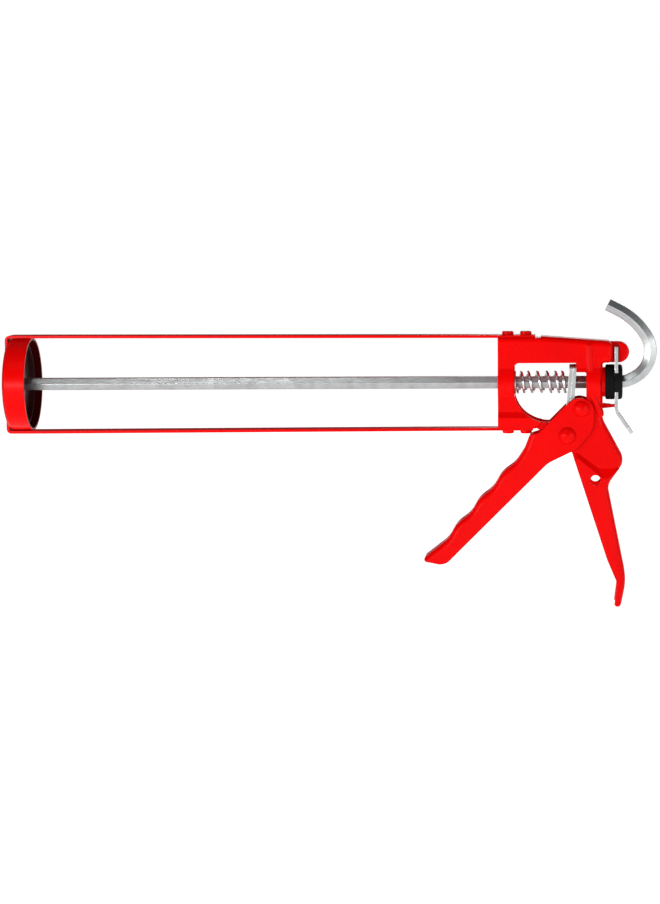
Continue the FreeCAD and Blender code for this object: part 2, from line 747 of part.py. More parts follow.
# ---- all nodes ------------------------------------------------------------------------------
NODES = {
    "cradle_strap": make_cradle_strap,
    "front_cup": make_front_cup,
    "pistol_frame": make_pistol_frame,
    "top_strap_rivets": lambda: make_strap_rivets(1),
    "bottom_strap_rivets": lambda: make_strap_rivets(-1),
    "front_rod_guide": make_front_rod_guide,
    "rear_rod_guide": make_rear_rod_guide,
    "pivot_spacer": make_pivot_spacer,
    "pivot_rivet": lambda: domed_pin(pivot_radius, trigger_outer + 0.15, pivot_x, pivot_z),
    "trigger": make_trigger,
    "drive_pin": lambda: domed_pin(pin_radius, trigger_outer, pin_x, pin_z),
    "drive_roller": make_drive_roller,
    "rear_drive_plate": lambda: drive_plate(0),
    "front_drive_plate": lambda: drive_plate(1),
    "spring_seat_washer": make_spring_seat_washer,
    "main_spring": make_main_spring,
    "plunger_rod": make_plunger_rod,
    "rod_hook": make_rod_hook,
    "plunger_disc": make_plunger_disc,
    "disc_washer": make_disc_washer,
    "disc_nut": make_disc_nut,
    "release_lever": make_release_lever,
    "lever_boss": make_lever_boss,
    "buffer_pad": make_buffer_pad,
}

os.makedirs("parts", exist_ok=True)
for name, make in NODES.items():
    shape = make()
    shape.exportStep("parts/" + name + ".step")
    box = shape.BoundBox
    print(f"{name}: {len(shape.Solids)} solid, valid {shape.isValid()}, {shape.Volume:.0f} mm3, "
          f"X {box.XMin:.1f}..{box.XMax:.1f} Y {box.YMin:.1f}..{box.YMax:.1f} "
          f"Z {box.ZMin:.1f}..{box.ZMax:.1f}")
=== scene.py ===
"""Studio model of a skeleton caulking gun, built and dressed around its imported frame.

Everything is in metres. +X runs from the nozzle end to the hook, +Z is up, and the origin is the
centre of the nozzle opening. The painted sheet parts and stamped plates are the frame's own
nodes with new finishes; the push rod, its thread, the main spring and the rubber buffer are
modelled here in finer detail.
"""
import logging
import math
from dataclasses import dataclass, field, replace
from enum import Enum
from typing import Any, Iterable, Mapping, Optional, Sequence

import bmesh
import bpy
from mathutils import Matrix, Vector


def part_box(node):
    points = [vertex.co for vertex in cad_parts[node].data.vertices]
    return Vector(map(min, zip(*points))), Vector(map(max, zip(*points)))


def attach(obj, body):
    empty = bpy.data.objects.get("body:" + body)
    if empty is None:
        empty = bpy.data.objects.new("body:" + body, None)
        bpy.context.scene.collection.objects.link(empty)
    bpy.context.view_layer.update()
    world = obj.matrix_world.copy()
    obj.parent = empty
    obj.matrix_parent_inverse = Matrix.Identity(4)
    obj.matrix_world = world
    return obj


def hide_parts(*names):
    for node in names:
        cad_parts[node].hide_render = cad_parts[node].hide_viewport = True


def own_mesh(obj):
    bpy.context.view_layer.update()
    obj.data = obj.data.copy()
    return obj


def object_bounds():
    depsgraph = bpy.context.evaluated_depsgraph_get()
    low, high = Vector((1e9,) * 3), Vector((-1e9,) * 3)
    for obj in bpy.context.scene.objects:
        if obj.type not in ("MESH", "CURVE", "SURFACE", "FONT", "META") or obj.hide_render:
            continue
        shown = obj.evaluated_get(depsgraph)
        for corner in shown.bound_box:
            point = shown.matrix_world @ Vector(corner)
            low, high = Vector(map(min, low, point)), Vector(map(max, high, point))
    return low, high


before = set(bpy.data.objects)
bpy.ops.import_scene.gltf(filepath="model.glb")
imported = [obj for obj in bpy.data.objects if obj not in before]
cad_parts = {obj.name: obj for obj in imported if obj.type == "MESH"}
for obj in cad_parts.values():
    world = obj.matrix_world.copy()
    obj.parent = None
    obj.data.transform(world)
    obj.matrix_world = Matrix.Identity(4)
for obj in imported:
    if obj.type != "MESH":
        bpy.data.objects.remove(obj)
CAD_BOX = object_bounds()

LOG = logging.getLogger("caulking_gun")
MM = 0.001
EDGE_MATCH = (0.995, 0.90)           # agreement of rounded and true normal: off an edge, on an edge
# painted shade inside the cup: radius, and depth behind the front face, where it begins and is
# fully reached
CUP_INSIDE = (24.7 * MM, 24.3 * MM)  # radius at which the cup's inside begins, and is fully reached
CUP_BEHIND = (2.0 * MM, 2.4 * MM)    # and the same for its distance behind the front face
Colour = tuple[float, float, float, float]
Socket = bpy.types.NodeSocket


class Slot(Enum):
    """The record's material slots that new pieces belong to."""

    ZINC = "zinc"
    SPRING_WIRE = "spring_wire"
    BLACK_RUBBER = "black_rubber"


class Body(Enum):
    """Bodies of the frame that new pieces ride on."""

    FRAME = "frame"
    PLUNGER = "plunger"


class Grain(Enum):
    """Where a finish takes its pattern's directions from."""

    OBJECT = "object"
    SWEEP = "sweep"


# ---- node trees -----------------------------------------------------------------------------
class Graph:
    """Short-hand for filling a shader or geometry node tree."""

    def __init__(self, tree: bpy.types.NodeTree) -> None:
        """Wrap a tree.

        Args:
            tree: the tree that new nodes go into.
        """
        self.tree = tree

    def add(self, kind: str, inputs: Optional[Mapping[Any, Any]] = None,
            **settings: Any) -> bpy.types.Node:
        """Add one node.

        Args:
            kind: the node's type name.
            inputs: values or output sockets for its inputs, by name or index.
            **settings: the node's own properties.

        Returns:
            The new node.
        """
        node = self.tree.nodes.new(kind)
        for name, value in settings.items():
            setattr(node, name, value)
        for key, value in (inputs or {}).items():
            if isinstance(value, bpy.types.NodeSocket):
                self.tree.links.new(value, node.inputs[key])
            else:
                node.inputs[key].default_value = value
        return node

    def math(self, operation: str, first: Any, second: Any) -> Socket:
        """Add a Math node.

        Args:
            operation: the Math node's operation.
            first: its first value or socket.
            second: its second value or socket.

        Returns:
            The result's socket.
        """
        return self.add("ShaderNodeMath", {0: first, 1: second}, operation=operation).outputs[0]

    def ramp(self, value: Socket, low: float, high: float, out_low: float = 0.0,
             out_high: float = 1.0) -> Socket:
        """Map a value from one range to another, held at the ends.

        Args:
            value: the socket to map.
            low: input that gives out_low.
            high: input that gives out_high.
            out_low: lowest output.
            out_high: highest output.

        Returns:
            The mapped value's socket.
        """
        node = self.add("ShaderNodeMapRange", {0: value, 1: low, 2: high, 3: out_low, 4: out_high})
        return node.outputs[0]

    def noise(self, vector: Socket, scale: Any, detail: float = 2.0,
              roughness: float = 0.5) -> Socket:
        """Add a noise pattern.

        Args:
            vector: where the pattern is read.
            scale: features per metre, or a socket that gives them.
            detail: number of finer layers.
            roughness: weight of the finer layers.

        Returns:
            The pattern's value socket, about 0 to 1.
        """
        node = self.add("ShaderNodeTexNoise", {"Vector": vector, "Scale": scale, "Detail": detail,
                                               "Roughness": roughness})
        return node.outputs[0]

    def mix_colour(self, share: Any, first: Any, second: Any) -> Socket:
        """Blend two colours.

        Args:
            share: how much of the second colour shows.
            first: colour at share 0.
            second: colour at share 1.

        Returns:
            The blended colour's socket.
        """
        node = self.add("ShaderNodeMix", {0: share, 6: first, 7: second}, data_type="RGBA")
        return node.outputs[2]


def shader_group(name: str, inputs: Sequence[tuple[str, str, Any]],
                 outputs: Sequence[tuple[str, str]]) -> tuple[bpy.types.NodeTree, Graph, Any, Any]:
    """Start a shader node group with named sockets.

    Args:
        name: the group's name.
        inputs: name, socket type and default of each input.
        outputs: name and socket type of each output.

    Returns:
        The group, its graph, its input node and its output node.
    """
    tree = bpy.data.node_groups.new(name, "ShaderNodeTree")
    for label, kind, value in inputs:
        socket = tree.interface.new_socket(label, in_out="INPUT", socket_type=kind)
        socket.default_value = value
    for label, kind in outputs:
        tree.interface.new_socket(label, in_out="OUTPUT", socket_type=kind)
    graph = Graph(tree)
    return tree, graph, graph.add("NodeGroupInput"), graph.add("NodeGroupOutput")


def edge_group() -> bpy.types.NodeTree:
    """Group that rounds sharp edges and marks them.

    Returns:
        The group, with outputs Normal and Edge.
    """
    tree, graph, given, out = shader_group(
        "rounded_edges", [("Radius", "NodeSocketFloat", 0.0004)],
        [("Normal", "NodeSocketVector"), ("Edge", "NodeSocketFloat")])
    soft = graph.add("ShaderNodeBevel", {"Radius": given.outputs["Radius"]}, samples=6)
    shape = graph.add("ShaderNodeNewGeometry")
    match = graph.add("ShaderNodeVectorMath", {0: soft.outputs[0], 1: shape.outputs["Normal"]},
                      operation="DOT_PRODUCT")
    edge = graph.ramp(match.outputs["Value"], *EDGE_MATCH)
    graph.tree.links.new(soft.outputs[0], out.inputs["Normal"])
    graph.tree.links.new(edge, out.inputs["Edge"])
    return tree


def drift_group() -> bpy.types.NodeTree:
    """Group for slow colour drift and small specks.

    Returns:
        The group, with outputs Color and Share.
    """
    tree, graph, given, out = shader_group(
        "colour_drift",
        [("Vector", "NodeSocketVector", (0.0, 0.0, 0.0)),
         ("Main", "NodeSocketColor", (1.0, 1.0, 1.0, 1.0)),
         ("Drift", "NodeSocketColor", (0.5, 0.5, 0.5, 1.0)),
         ("Speck", "NodeSocketColor", (0.2, 0.2, 0.2, 1.0)),
         ("Scale", "NodeSocketFloat", 60.0),
         ("Specks", "NodeSocketFloat", 0.0)],
        [("Color", "NodeSocketColor"), ("Share", "NodeSocketFloat")])
    where = given.outputs["Vector"]
    slow = graph.noise(where, given.outputs["Scale"], detail=4.0, roughness=0.6)
    share = graph.ramp(slow, 0.32, 0.68)
    body = graph.mix_colour(share, given.outputs["Main"], given.outputs["Drift"])
    fine = graph.noise(where, graph.math("MULTIPLY", given.outputs["Scale"], 14.0), detail=1.0)
    speck = graph.math("MULTIPLY", graph.ramp(fine, 0.70, 0.78), given.outputs["Specks"])
    colour = graph.mix_colour(speck, body, given.outputs["Speck"])
    graph.tree.links.new(colour, out.inputs["Color"])
    graph.tree.links.new(share, out.inputs["Share"])
    return tree


def grain_group() -> bpy.types.NodeTree:
    """Group for fine surface relief, drawn out along one direction where stretched.

    Returns:
        The group, with outputs Height and Share.
    """
    tree, graph, given, out = shader_group(
        "surface_grain",
        [("Vector", "NodeSocketVector", (0.0, 0.0, 0.0)),
         ("Stretch", "NodeSocketVector", (1.0, 1.0, 1.0)),
         ("Scale", "NodeSocketFloat", 1200.0)],
        [("Height", "NodeSocketFloat"), ("Share", "NodeSocketFloat")])
    drawn = graph.add("ShaderNodeVectorMath",
                      {0: given.outputs["Vector"], 1: given.outputs["Stretch"]},
                      operation="MULTIPLY")
    fine = graph.noise(drawn.outputs[0], given.outputs["Scale"], detail=3.0, roughness=0.55)
    graph.tree.links.new(fine, out.inputs["Height"])
    graph.tree.links.new(graph.ramp(fine, 0.35, 0.65), out.inputs["Share"])
    return tree


class Workshop:
    """The shader groups that every finish shares, each built once."""

    def __init__(self) -> None:
        """Build the groups."""
        self.edges = edge_group()
        self.drift = drift_group()
        self.grain = grain_group()


# ---- finishes -------------------------------------------------------------------------------
@dataclass(frozen=True)
class Finish:
    """One surface finish; its numbers are for a Principled surface."""

    name: str
    main: Colour
    drift: Colour
    speck: Colour
    edge: Colour
    metallic: float = 0.0
    roughness: tuple[float, float] = (0.30, 0.36)
    drift_scale: float = 40.0
    specks: float = 0.0
    edge_radius: float = 0.4 * MM
    edge_share: float = 0.3
    grain_scale: float = 1200.0
    grain_stretch: tuple[float, float, float] = (1.0, 1.0, 1.0)
    grain_depth: float = 0.02 * MM
    specular: float = 0.5
    source: Grain = Grain.OBJECT
    painted_cup_shade: Optional[Colour] = None

    def pattern_place(self, graph: Graph) -> Socket:
        """Give the vector that the patterns are read at.

        Args:
            graph: the material's graph.

        Returns:
            Object coordinates, or distance along and around a swept piece.
        """
        if self.source is Grain.OBJECT:
            return graph.add("ShaderNodeTexCoord").outputs["Object"]
        along = graph.add("ShaderNodeAttribute", attribute_name="along")
        around = graph.add("ShaderNodeAttribute", attribute_name="around")
        joined = graph.add("ShaderNodeCombineXYZ", {0: along.outputs["Fac"],
                                                    1: around.outputs["Fac"]})
        return joined.outputs[0]

    def paint_cup_shade(self, graph: Graph, colour: Socket) -> Socket:
        """Paint the shade of the cup's unlit inside into its colour.

        Args:
            graph: the material's graph.
            colour: the colour so far.

        Returns:
            The colour with the cup's inside darkened.
        """
        place = graph.add("ShaderNodeTexCoord").outputs["Object"]
        split = graph.add("ShaderNodeSeparateXYZ", {0: place})
        flat = graph.add("ShaderNodeCombineXYZ", {1: split.outputs[1], 2: split.outputs[2]})
        radius = graph.add("ShaderNodeVectorMath", {0: flat.outputs[0]}, operation="LENGTH")
        inside = graph.ramp(radius.outputs["Value"], *CUP_INSIDE)
        behind = graph.ramp(split.outputs[0], *CUP_BEHIND)
        return graph.mix_colour(graph.math("MULTIPLY", inside, behind), colour, self.painted_cup_shade)

    def material(self, shop: Workshop) -> bpy.types.Material:
        """Build the material.

        Args:
            shop: the shared shader groups.

        Returns:
            The finished material.
        """
        made = bpy.data.materials.new(self.name)
        made.use_nodes = True
        made.node_tree.nodes.clear()
        graph = Graph(made.node_tree)
        place = self.pattern_place(graph)
        drift = graph.add("ShaderNodeGroup", node_tree=shop.drift)
        graph.tree.links.new(place, drift.inputs["Vector"])
        for label, value in (("Main", self.main), ("Drift", self.drift), ("Speck", self.speck),
                             ("Scale", self.drift_scale), ("Specks", self.specks)):
            drift.inputs[label].default_value = value
        grain = graph.add("ShaderNodeGroup", node_tree=shop.grain)
        graph.tree.links.new(place, grain.inputs["Vector"])
        grain.inputs["Scale"].default_value = self.grain_scale
        grain.inputs["Stretch"].default_value = self.grain_stretch
        edges = graph.add("ShaderNodeGroup", node_tree=shop.edges)
        edges.inputs["Radius"].default_value = self.edge_radius
        # edge colour along sharp edges: painted shade on the enamel's dark edges, painted highlight
        # on the lighter edges of the other finishes, partly wear
        edge_shade_light_and_wear = graph.math("MULTIPLY", edges.outputs["Edge"], self.edge_share)
        colour = graph.mix_colour(edge_shade_light_and_wear, drift.outputs["Color"], self.edge)
        # painted shade on the inside of the cup
        if self.painted_cup_shade is not None:
            colour = self.paint_cup_shade(graph, colour)
        share = graph.math("ADD", graph.math("MULTIPLY", drift.outputs["Share"], 0.5),
                           graph.math("MULTIPLY", grain.outputs["Share"], 0.5))
        low, high = self.roughness
        roughness = graph.ramp(share, 0.0, 1.0, low, high)
        bump = graph.add("ShaderNodeBump", {"Strength": 1.0, "Distance": self.grain_depth,
                                            "Height": grain.outputs["Height"],
                                            "Normal": edges.outputs["Normal"]})
        surface = graph.add("ShaderNodeBsdfPrincipled", {
            "Base Color": colour, "Roughness": roughness, "Metallic": self.metallic,
            "Normal": bump.outputs[0], "Specular IOR Level": self.specular})
        graph.add("ShaderNodeOutputMaterial", {"Surface": surface.outputs[0]})
        return made


# ENAMEL's dark edge colour is painted shade along its edges
ENAMEL = Finish(
    name="red_stoving_enamel", main=(0.82, 0.0006, 0.0006, 1.0), drift=(0.74, 0.0005, 0.0005, 1.0),
    speck=(0.70, 0.001, 0.001, 1.0), edge=(0.36, 0.001, 0.001, 1.0), roughness=(0.24, 0.32),
    drift_scale=28.0, specks=0.15, edge_radius=0.55 * MM, edge_share=0.35, grain_scale=900.0,
    grain_depth=0.012 * MM, specular=0.06)
# CUP_ENAMEL paints the shade of the cup's inside as a near-black red
CUP_ENAMEL = replace(
    ENAMEL, name="red_enamel_painted_inner_shade", edge_radius=0.4 * MM, painted_cup_shade=(0.045, 0.001, 0.001, 1.0))
# the lighter edge colours of the finishes below are painted highlight along edges, partly wear
ZINC_BAR = Finish(
    name="zinc_plated_bar", main=(0.54, 0.565, 0.57, 1.0), drift=(0.42, 0.43, 0.43, 1.0),
    speck=(0.30, 0.29, 0.27, 1.0), edge=(0.86, 0.87, 0.86, 1.0), metallic=1.0,
    roughness=(0.24, 0.42), drift_scale=150.0, specks=0.35, edge_radius=0.3 * MM,
    edge_share=0.4, grain_scale=1500.0, grain_stretch=(0.05, 1.0, 1.0), grain_depth=0.012 * MM,
    source=Grain.SWEEP)
ZINC_STAMPED = Finish(
    name="zinc_plated_stamping", main=(0.66, 0.68, 0.68, 1.0), drift=(0.50, 0.51, 0.50, 1.0),
    speck=(0.34, 0.33, 0.31, 1.0), edge=(0.90, 0.90, 0.89, 1.0), metallic=1.0,
    roughness=(0.22, 0.38), drift_scale=160.0, specks=0.25, edge_radius=0.3 * MM,
    edge_share=0.4, grain_scale=1600.0, grain_depth=0.01 * MM)
SPRING_STEEL = Finish(
    name="bright_spring_wire", main=(0.80, 0.81, 0.82, 1.0), drift=(0.68, 0.69, 0.70, 1.0),
    speck=(0.34, 0.33, 0.32, 1.0), edge=(0.88, 0.88, 0.88, 1.0), metallic=1.0,
    roughness=(0.16, 0.26), drift_scale=180.0, specks=0.2, edge_radius=0.1 * MM, edge_share=0.0,
    grain_scale=2200.0, grain_stretch=(0.06, 1.0, 1.0), grain_depth=0.006 * MM,
    source=Grain.SWEEP)
# DISC_STEEL: dark steel disc whose near-black red is painted shade of the cup's unlit inside, its
# red tint a painted reflection of the red cup
DISC_STEEL = Finish(
    name="dark_disc_painted_shade", main=(0.032, 0.003, 0.003, 1.0), drift=(0.024, 0.003, 0.003, 1.0),
    speck=(0.05, 0.012, 0.012, 1.0), edge=(0.09, 0.03, 0.03, 1.0), roughness=(0.42, 0.55),
    drift_scale=70.0, specks=0.3, edge_share=0.35, grain_scale=1400.0, specular=0.3)
MOULDED_BLACK = Finish(
    name="moulded_black_plastic", main=(0.005, 0.005, 0.005, 1.0),
    drift=(0.007, 0.007, 0.007, 1.0), speck=(0.015, 0.015, 0.015, 1.0),
    edge=(0.015, 0.015, 0.015, 1.0), roughness=(0.48, 0.60), drift_scale=120.0, specks=0.2,
    edge_radius=0.35 * MM, edge_share=0.3, grain_scale=2600.0, grain_depth=0.02 * MM, specular=0.06)
BLACK_RUBBER = Finish(
    name="black_buffer_rubber", main=(0.004, 0.004, 0.004, 1.0), drift=(0.006, 0.006, 0.006, 1.0),
    speck=(0.016, 0.016, 0.015, 1.0), edge=(0.012, 0.012, 0.012, 1.0), roughness=(0.62, 0.78),
    drift_scale=150.0, specks=0.35, edge_radius=0.3 * MM, edge_share=0.25, grain_scale=1900.0,
    grain_depth=0.03 * MM, specular=0.06)


# ---- mesh helpers ---------------------------------------------------------------------------
def add_object(name: str, data: Any) -> bpy.types.Object:
    """Put new data into the scene at the origin.

    Args:
        name: the object's name.
        data: its mesh or curve.

    Returns:
        The new object.
    """
    made = bpy.data.objects.new(name, data)
    bpy.context.scene.collection.objects.link(made)
    return made


def to_plain_mesh(name: str, source: bpy.types.Object) -> bpy.types.Object:
    """Turn an object and its modifiers into a plain mesh object, and drop the source.

    Args:
        name: the new object's name.
        source: the object to evaluate.

    Returns:
        The plain mesh object.
    """
    graph = bpy.context.evaluated_depsgraph_get()
    mesh = bpy.data.meshes.new_from_object(source.evaluated_get(graph),
                                           preserve_all_data_layers=True, depsgraph=graph)
    mesh.name = name
    source.modifiers.clear()
    bpy.data.objects.remove(source)
    return add_object(name, mesh)


def even_normals(piece: bpy.types.Object, angle: float) -> bpy.types.Object:
    """Shade smooth with normals that follow the larger faces.

    Args:
        piece: the mesh object to shade.
        angle: edges sharper than this, in degrees, stay sharp.

    Returns:
        The shaded piece, as a new plain mesh object of the same name.
    """
    piece.data.shade_smooth()
    piece.data.set_sharp_from_angle(angle=math.radians(angle))
    weigh = piece.modifiers.new("even_normals", "WEIGHTED_NORMAL")
    weigh.keep_sharp = True
    return to_plain_mesh(piece.name, piece)


def sweep_tree(name: str, sides: int, fillet_steps: int) -> bpy.types.NodeTree:
    """Geometry tree that sweeps a regular or round section along a curve.

    Args:
        name: the tree's name.
        sides: corners of the section.
        fillet_steps: points on each rounded corner; 0 leaves the corners sharp.

    Returns:
        The tree, with inputs Radius, Corner radius and Material.
    """
    tree = bpy.data.node_groups.new(name, "GeometryNodeTree")
    for label, kind in (("Geometry", "NodeSocketGeometry"), ("Radius", "NodeSocketFloat"),
                        ("Corner radius", "NodeSocketFloat"), ("Material", "NodeSocketMaterial")):
        tree.interface.new_socket(label, in_out="INPUT", socket_type=kind)
    tree.interface.new_socket("Geometry", in_out="OUTPUT", socket_type="NodeSocketGeometry")
    graph = Graph(tree)
    given = graph.add("NodeGroupInput")
    section = graph.add("GeometryNodeCurvePrimitiveCircle",
                        {"Resolution": sides, "Radius": given.outputs["Radius"]}).outputs[0]
    if fillet_steps:
        section = graph.add("GeometryNodeFilletCurve",
                            {"Curve": section, "Count": fillet_steps,
                             "Radius": given.outputs["Corner radius"]}, mode="POLY").outputs[0]
    place = graph.add("GeometryNodeSplineParameter")
    path = graph.add("GeometryNodeStoreNamedAttribute",
                     {"Geometry": given.outputs["Geometry"], "Name": "along",
                      "Value": place.outputs["Length"]}, data_type="FLOAT", domain="POINT")
    section = graph.add("GeometryNodeStoreNamedAttribute",
                        {"Geometry": section, "Name": "around", "Value": place.outputs["Length"]},
                        data_type="FLOAT", domain="POINT").outputs[0]
    swept = graph.add("GeometryNodeCurveToMesh", {"Curve": path.outputs[0],
                                                  "Profile Curve": section, "Fill Caps": True})
    real = graph.add("GeometryNodeRealizeInstances", {0: swept.outputs[0]})
    dressed = graph.add("GeometryNodeSetMaterial", {"Geometry": real.outputs[0],
                                                    "Material": given.outputs["Material"]})
    graph.add("NodeGroupOutput", {0: dressed.outputs[0]})
    return tree


def run_tree(name: str, source: bpy.types.Object, tree: bpy.types.NodeTree,
             values: Mapping[str, Any]) -> bpy.types.Object:
    """Run a geometry tree on an object and keep the result as a plain mesh.

    Args:
        name: the finished piece's name.
        source: the object that the tree starts from; it is dropped.
        tree: the geometry tree.
        values: the tree's inputs by name.

    Returns:
        The finished mesh object.
    """
    modifier = source.modifiers.new(name, "NODES")
    modifier.node_group = tree
    for socket in tree.interface.items_tree:
        if socket.in_out == "INPUT" and socket.name in values:
            modifier[socket.identifier] = values[socket.name]
    return to_plain_mesh(name, source)


def poly_curve(name: str, points: Sequence[Vector], widths: Sequence[float]) -> bpy.types.Object:
    """Open curve through points.

    Args:
        name: the curve object's name.
        points: its points.
        widths: relative width of the section at each point.

    Returns:
        The curve object.
    """
    data = bpy.data.curves.new(name, "CURVE")
    data.dimensions = "3D"
    spline = data.splines.new("POLY")
    spline.points.add(len(points) - 1)
    for item, place, width in zip(spline.points, points, widths):
        item.co = (*place, 1.0)
        item.radius = width
    return add_object(name, data)


def turned_piece(name: str, outline: Sequence[tuple[float, float]],
                 segments: int = 96) -> bpy.types.Object:
    """Turn a closed outline round the rod's axis.

    Args:
        name: the piece's name.
        outline: (x, radius) corners in metres, in order.
        segments: steps round the axis.

    Returns:
        The turned mesh object, its faces outwards.
    """
    shape = bmesh.new()
    rings = []
    for step in range(segments):
        angle = 2 * math.pi * step / segments
        rings.append([shape.verts.new((x, radius * math.cos(angle), radius * math.sin(angle)))
                      for x, radius in outline])
    count = len(outline)
    for step, ring in enumerate(rings):
        following = rings[(step + 1) % segments]
        for index in range(count):
            after = (index + 1) % count
            shape.faces.new((ring[index], ring[after], following[after], following[index]))
    bmesh.ops.remove_doubles(shape, verts=shape.verts, dist=1e-7)
    bmesh.ops.recalc_face_normals(shape, faces=shape.faces)
    mesh = bpy.data.meshes.new(name)
    shape.to_mesh(mesh)
    shape.free()
    return add_object(name, mesh)


def rounded_outline(corners: Sequence[tuple[float, float, float]],
                    steps: int = 6) -> list[tuple[float, float]]:
    """Round each corner of a closed outline.

    Args:
        corners: (x, radius, rounding) of each corner.
        steps: steps on each rounding.

    Returns:
        The outline's points.
    """
    points: list[tuple[float, float]] = []
    count = len(corners)
    for index, (x, height, rounding) in enumerate(corners):
        here = Vector((x, height))
        if rounding <= 0:
            points.append((x, height))
            continue
        back = (Vector(corners[index - 1][:2]) - here).normalized()
        ahead = (Vector(corners[(index + 1) % count][:2]) - here).normalized()
        half = back.angle(ahead) / 2
        run = rounding / math.tan(half)
        centre = here + (back + ahead).normalized() * (rounding / math.sin(half))
        start = here + back * run - centre
        end = here + ahead * run - centre
        sweep = start.angle(end)
        for step in range(steps + 1):
            share = step / steps
            spoke = (start * math.sin((1 - share) * sweep) + end * math.sin(share * sweep))
            place = centre + spoke / math.sin(sweep)
            points.append((place.x, place.y))
    return points


def dress(nodes: Iterable[str], material: bpy.types.Material) -> None:
    """Give CAD nodes a finish.

    Args:
        nodes: the nodes' names.
        material: the finish.
    """
    for name in nodes:
        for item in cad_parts[name].material_slots:
            item.material = material
        LOG.info("node %s: %s", name, material.name)


def join_frame(piece: bpy.types.Object, body: Body, slot: Slot, *nodes: str) -> None:
    """Let a new piece stand for CAD nodes and move with their body.

    Args:
        piece: the new piece.
        body: the body it rides on.
        slot: not used.
        *nodes: the CAD nodes that it stands for.
    """
    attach(piece, body.value)
    if nodes:
        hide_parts(*nodes)
    LOG.info("piece %s on %s: %d faces", piece.name, body.value, len(piece.data.polygons))


# ---- sub-assemblies -------------------------------------------------------------------------
@dataclass
class Cradle:
    """Strap, front cup and their rivets: painted sheet."""

    enamelled: tuple[str, ...] = ("cradle_strap", "top_strap_rivets", "bottom_strap_rivets")
    cup: str = "front_cup"

    def build(self, shop: Workshop, enamel: bpy.types.Material) -> None:
        """Dress the cradle.

        Args:
            shop: the shared shader groups.
            enamel: the red enamel.
        """
        dress(self.enamelled, enamel)
        dress((self.cup,), CUP_ENAMEL.material(shop))


@dataclass
class Handle:
    """Pistol frame, guides, trigger and their pins."""

    enamelled: tuple[str, ...] = ("pistol_frame", "front_rod_guide", "rear_rod_guide",
                                  "pivot_rivet", "drive_pin", "trigger")
    plated: tuple[str, ...] = ("pivot_spacer", "drive_roller")

    def build(self, enamel: bpy.types.Material, stamped: bpy.types.Material) -> None:
        """Dress the handle.

        Args:
            enamel: the red enamel.
            stamped: the zinc plate of small parts.
        """
        dress(self.enamelled, enamel)
        dress(self.plated, stamped)


@dataclass
class Drive:
    """Drive plates, spring seat and main spring."""

    wire: float = 1.5 * MM
    turns: float = 6.2
    end_closing: float = 0.25
    steps_a_turn: int = 36
    wire_sides: int = 14
    first_angle: float = 200.0
    plated: tuple[str, ...] = ("front_drive_plate", "rear_drive_plate", "spring_seat_washer")
    node: str = "main_spring"
    joint: str = "drive_plate_slide"
    travel: float = 8.0 * MM

    def coil_points(self, low: Vector, high: Vector) -> list[Vector]:
        """Centre line of the spring's wire.

        Args:
            low: lowest corner of the spring's box.
            high: highest corner of the spring's box.

        Returns:
            Points along the wire, closer pitched towards both ends.
        """
        radius = high.y - self.wire / 2
        start = low.x + self.wire / 2
        run = high.x - low.x - self.wire
        count = round(self.turns * self.steps_a_turn)
        points = []
        for step in range(count + 1):
            share = step / count
            angle = math.radians(self.first_angle) + 2 * math.pi * self.turns * share
            easing = self.end_closing * math.sin(2 * math.pi * share) / (2 * math.pi)
            points.append(Vector((start + run * (share - easing), radius * math.cos(angle),
                                  radius * math.sin(angle))))
        return points

    def build(self, shop: Workshop, stamped: bpy.types.Material) -> None:
        """Make the spring and dress the plates.

        Args:
            shop: the shared shader groups.
            stamped: the zinc plate of small parts.
        """
        dress(self.plated, stamped)
        low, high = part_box(self.node)
        points = self.coil_points(low, high)
        source = poly_curve("coil_line", points, [1.0] * len(points))
        spring = run_tree("coil_spring", source, sweep_tree("wire_sweep", self.wire_sides, 0),
                          {"Radius": self.wire / 2, "Material": SPRING_STEEL.material(shop)})
        spring = even_normals(spring, 50.0)
        join_frame(spring, Body.FRAME, Slot.SPRING_WIRE, self.node)
        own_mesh(spring)


